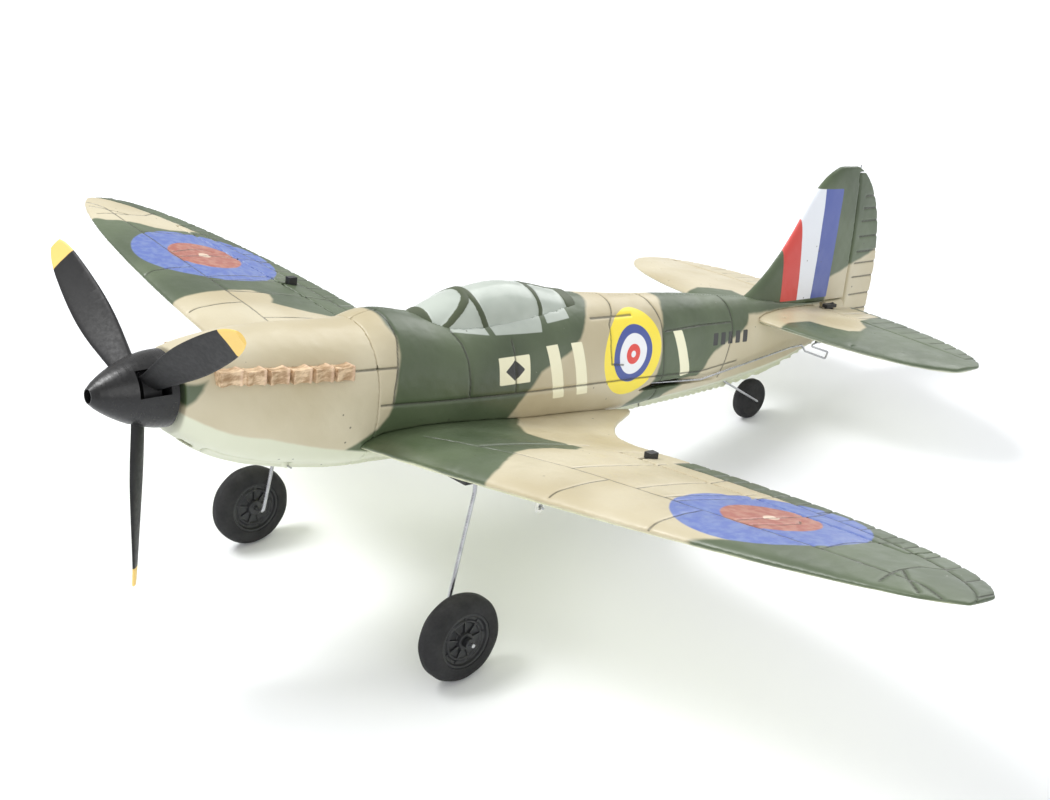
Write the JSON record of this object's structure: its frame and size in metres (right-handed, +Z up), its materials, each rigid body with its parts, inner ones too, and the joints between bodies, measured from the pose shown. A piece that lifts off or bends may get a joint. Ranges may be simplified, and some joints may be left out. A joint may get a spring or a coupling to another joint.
{
  "type": "radio control foam warbird aeroplane",
  "caption": "Ready-to-fly foam radio control warbird: elliptical low wing, three-blade propeller, working control surfaces, wire undercarriage and belly battery hatch.",
  "frame": {"origin": "centre of the model's bounding box on the surface that its three wheels stand on", "axes": "+Z up, -Y out of the nose along the fuselage, +X out of the port wing tip"},
  "size_m": [0.3968, 0.3166, 0.1182],
  "materials": {
    "painted_foam": "expanded foam with brushed camouflage paint",
    "canopy_shell": "opaque grey-blue glazing colour with green frames",
    "black_blade": "satin moulded nylon with yellow tips",
    "black_spinner": "satin moulded plastic",
    "exhaust_paint": "brushed copper paint on moulded plastic",
    "steel": "bright drawn wire",
    "motor_case": "turned can",
    "brass": "machined",
    "wheel_rubber": "matte black foam rubber",
    "wheel_hub": "black moulded plastic",
    "black_plastic": "black moulded plastic",
    "servo_plastic": "translucent blue servo case",
    "white_plastic": "white moulded nylon",
    "carbon": "pultruded carbon rod",
    "battery_wrap": "shrink wrap",
    "circuit_board": "solder resist"
  },
  "bodies": {
    "airframe": {"aileron_servo_left": "servo_plastic", "aileron_servo_right": "servo_plastic", "battery": "battery_wrap", "board_tray": "white_plastic", "canopy": "canopy_shell", "elevator_servo": "servo_plastic", "exhaust_stacks": "exhaust_paint", "fin": "painted_foam", "fuselage_left": "painted_foam", "fuselage_right": "painted_foam", "gear_block_left": "black_plastic", "gear_block_right": "black_plastic", "gear_wire_left": "steel", "gear_wire_right": "steel", "gearbox_frame": "black_plastic", "hinge_pins": "steel", "motor": "motor_case", "nose_cowl": "painted_foam", "receiver_board": "circuit_board", "rudder_servo": "servo_plastic", "shaft_bushes": "brass", "stabiliser": "painted_foam", "tail_wire": "steel", "wheel_collars": "wheel_hub", "wing_left": "painted_foam", "wing_right": "painted_foam", "wing_spars": "carbon"},
    "propeller": {"propeller": "black_blade", "spinner": "black_spinner", "prop_shaft": "steel", "prop_nut": "brass", "spur_gear": "white_plastic"},
    "pinion": {"motor_pinion": "brass"},
    "aileron_left": {"aileron_left": "painted_foam", "aileron_horn_left": "black_plastic"},
    "aileron_arm_left": {"aileron_arm_left": "white_plastic"},
    "aileron_rod_left": {"aileron_rod_left": "steel"},
    "aileron_right": {"aileron_right": "painted_foam", "aileron_horn_right": "black_plastic"},
    "aileron_arm_right": {"aileron_arm_right": "white_plastic"},
    "aileron_rod_right": {"aileron_rod_right": "steel"},
    "elevator": {"elevator_left": "painted_foam", "elevator_right": "painted_foam", "elevator_joiner": "steel", "elevator_horn": "black_plastic"},
    "elevator_arm": {"elevator_arm": "white_plastic"},
    "elevator_rod": {"elevator_rod": "steel"},
    "rudder": {"rudder": "painted_foam", "rudder_horn": "black_plastic"},
    "rudder_arm": {"rudder_arm": "white_plastic"},
    "rudder_rod": {"rudder_rod": "steel"},
    "wheel_left": {"tyre_left": "wheel_rubber", "hub_left": "wheel_hub"},
    "wheel_right": {"tyre_right": "wheel_rubber", "hub_right": "wheel_hub"},
    "tail_wheel": {"tail_wheel": "wheel_rubber"},
    "hatch": {"battery_hatch": "painted_foam", "hatch_magnet": "steel"}
  },
  "joints": [
    {"name": "propeller_spin", "type": "hinge", "parent": "airframe", "child": "propeller", "pos_m": [0, -0.14416, 0.08971], "axis": [0, 0.9775, -0.211], "continuous": true},
    {"name": "pinion_spin", "type": "hinge", "parent": "airframe", "child": "pinion", "pos_m": [0, -0.13345, 0.07773], "axis": [0, 0.9775, -0.211], "continuous": true},
    {"name": "aileron_left_hinge", "type": "hinge", "parent": "airframe", "child": "aileron_left", "pos_m": [0.058, -0.02992, 0.04787], "axis": [0.9814, -0.1018, 0.1627], "range_deg": [-18, 18]},
    {"name": "aileron_arm_left_turn", "type": "hinge", "parent": "airframe", "child": "aileron_arm_left", "pos_m": [0.0686, -0.0688, 0.05729], "axis": [1, 0, 0], "range_deg": [-20, 20]},
    {"name": "aileron_rod_left_slide", "type": "slide", "parent": "airframe", "child": "aileron_rod_left", "axis": [0, 0.9766, -0.2149], "range_m": [-0.0025, 0.0025]},
    {"name": "aileron_right_hinge", "type": "hinge", "parent": "airframe", "child": "aileron_right", "pos_m": [-0.058, -0.02992, 0.04787], "axis": [0.9814, 0.1018, -0.1627], "range_deg": [-18, 18]},
    {"name": "aileron_arm_right_turn", "type": "hinge", "parent": "airframe", "child": "aileron_arm_right", "pos_m": [-0.1074, -0.06734, 0.06405], "axis": [1, 0, 0], "range_deg": [-20, 20]},
    {"name": "aileron_rod_right_slide", "type": "slide", "parent": "airframe", "child": "aileron_rod_right", "axis": [0, 0.9752, -0.2215], "range_m": [-0.0025, 0.0025]},
    {"name": "elevator_hinge", "type": "hinge", "parent": "airframe", "child": "elevator", "pos_m": [0, 0.1202, 0.03336], "axis": [1, 0, 0], "range_deg": [-15, 15]},
    {"name": "elevator_arm_turn", "type": "hinge", "parent": "airframe", "child": "elevator_arm", "pos_m": [0.0082, -0.00006, 0.05349], "axis": [1, 0, 0], "range_deg": [-18, 18]},
    {"name": "elevator_rod_slide", "type": "slide", "parent": "airframe", "child": "elevator_rod", "axis": [0, 0.9775, -0.211], "range_m": [-0.0045, 0.0045]},
    {"name": "rudder_hinge", "type": "hinge", "parent": "airframe", "child": "rudder", "pos_m": [0, 0.13853, 0.02869], "axis": [0, 0.1632, 0.9866], "range_deg": [-18, 18]},
    {"name": "rudder_arm_turn", "type": "hinge", "parent": "airframe", "child": "rudder_arm", "pos_m": [-0.0082, 0.00678, 0.05201], "axis": [1, 0, 0], "range_deg": [-17, 17]},
    {"name": "rudder_rod_slide", "type": "slide", "parent": "airframe", "child": "rudder_rod", "axis": [0, 0.9775, -0.211], "range_m": [-0.0035, 0.0035]},
    {"name": "wheel_left_spin", "type": "hinge", "parent": "airframe", "child": "wheel_left", "pos_m": [0.054, -0.08931, 0.01301], "axis": [1, 0, 0], "continuous": true},
    {"name": "wheel_right_spin", "type": "hinge", "parent": "airframe", "child": "wheel_right", "pos_m": [-0.054, -0.08931, 0.01301], "axis": [1, 0, 0], "continuous": true},
    {"name": "tail_wheel_spin", "type": "hinge", "parent": "airframe", "child": "tail_wheel", "pos_m": [0, 0.0881, 0.0074], "axis": [1, 0, 0], "continuous": true},
    {"name": "hatch_hinge", "type": "hinge", "parent": "airframe", "child": "hatch", "pos_m": [0, -0.10855, 0.0568], "axis": [1, 0, 0], "range_deg": [0, 80]}
  ],
  "couplings": [
    {"joint": "pinion_spin", "follows": "propeller_spin", "ratio": -6},
    {"joint": "aileron_arm_left_turn", "follows": "aileron_left_hinge", "ratio": 1},
    {"joint": "aileron_rod_left_slide", "follows": "aileron_left_hinge", "m_per_rad": 0.005},
    {"joint": "aileron_right_hinge", "follows": "aileron_left_hinge", "ratio": -1},
    {"joint": "aileron_arm_right_turn", "follows": "aileron_left_hinge", "ratio": -1},
    {"joint": "aileron_rod_right_slide", "follows": "aileron_left_hinge", "m_per_rad": -0.005},
    {"joint": "elevator_arm_turn", "follows": "elevator_hinge", "ratio": 1.05},
    {"joint": "elevator_rod_slide", "follows": "elevator_hinge", "m_per_rad": 0.0105},
    {"joint": "rudder_arm_turn", "follows": "rudder_hinge", "ratio": -0.84},
    {"joint": "rudder_rod_slide", "follows": "rudder_hinge", "m_per_rad": -0.0084}
  ]
}
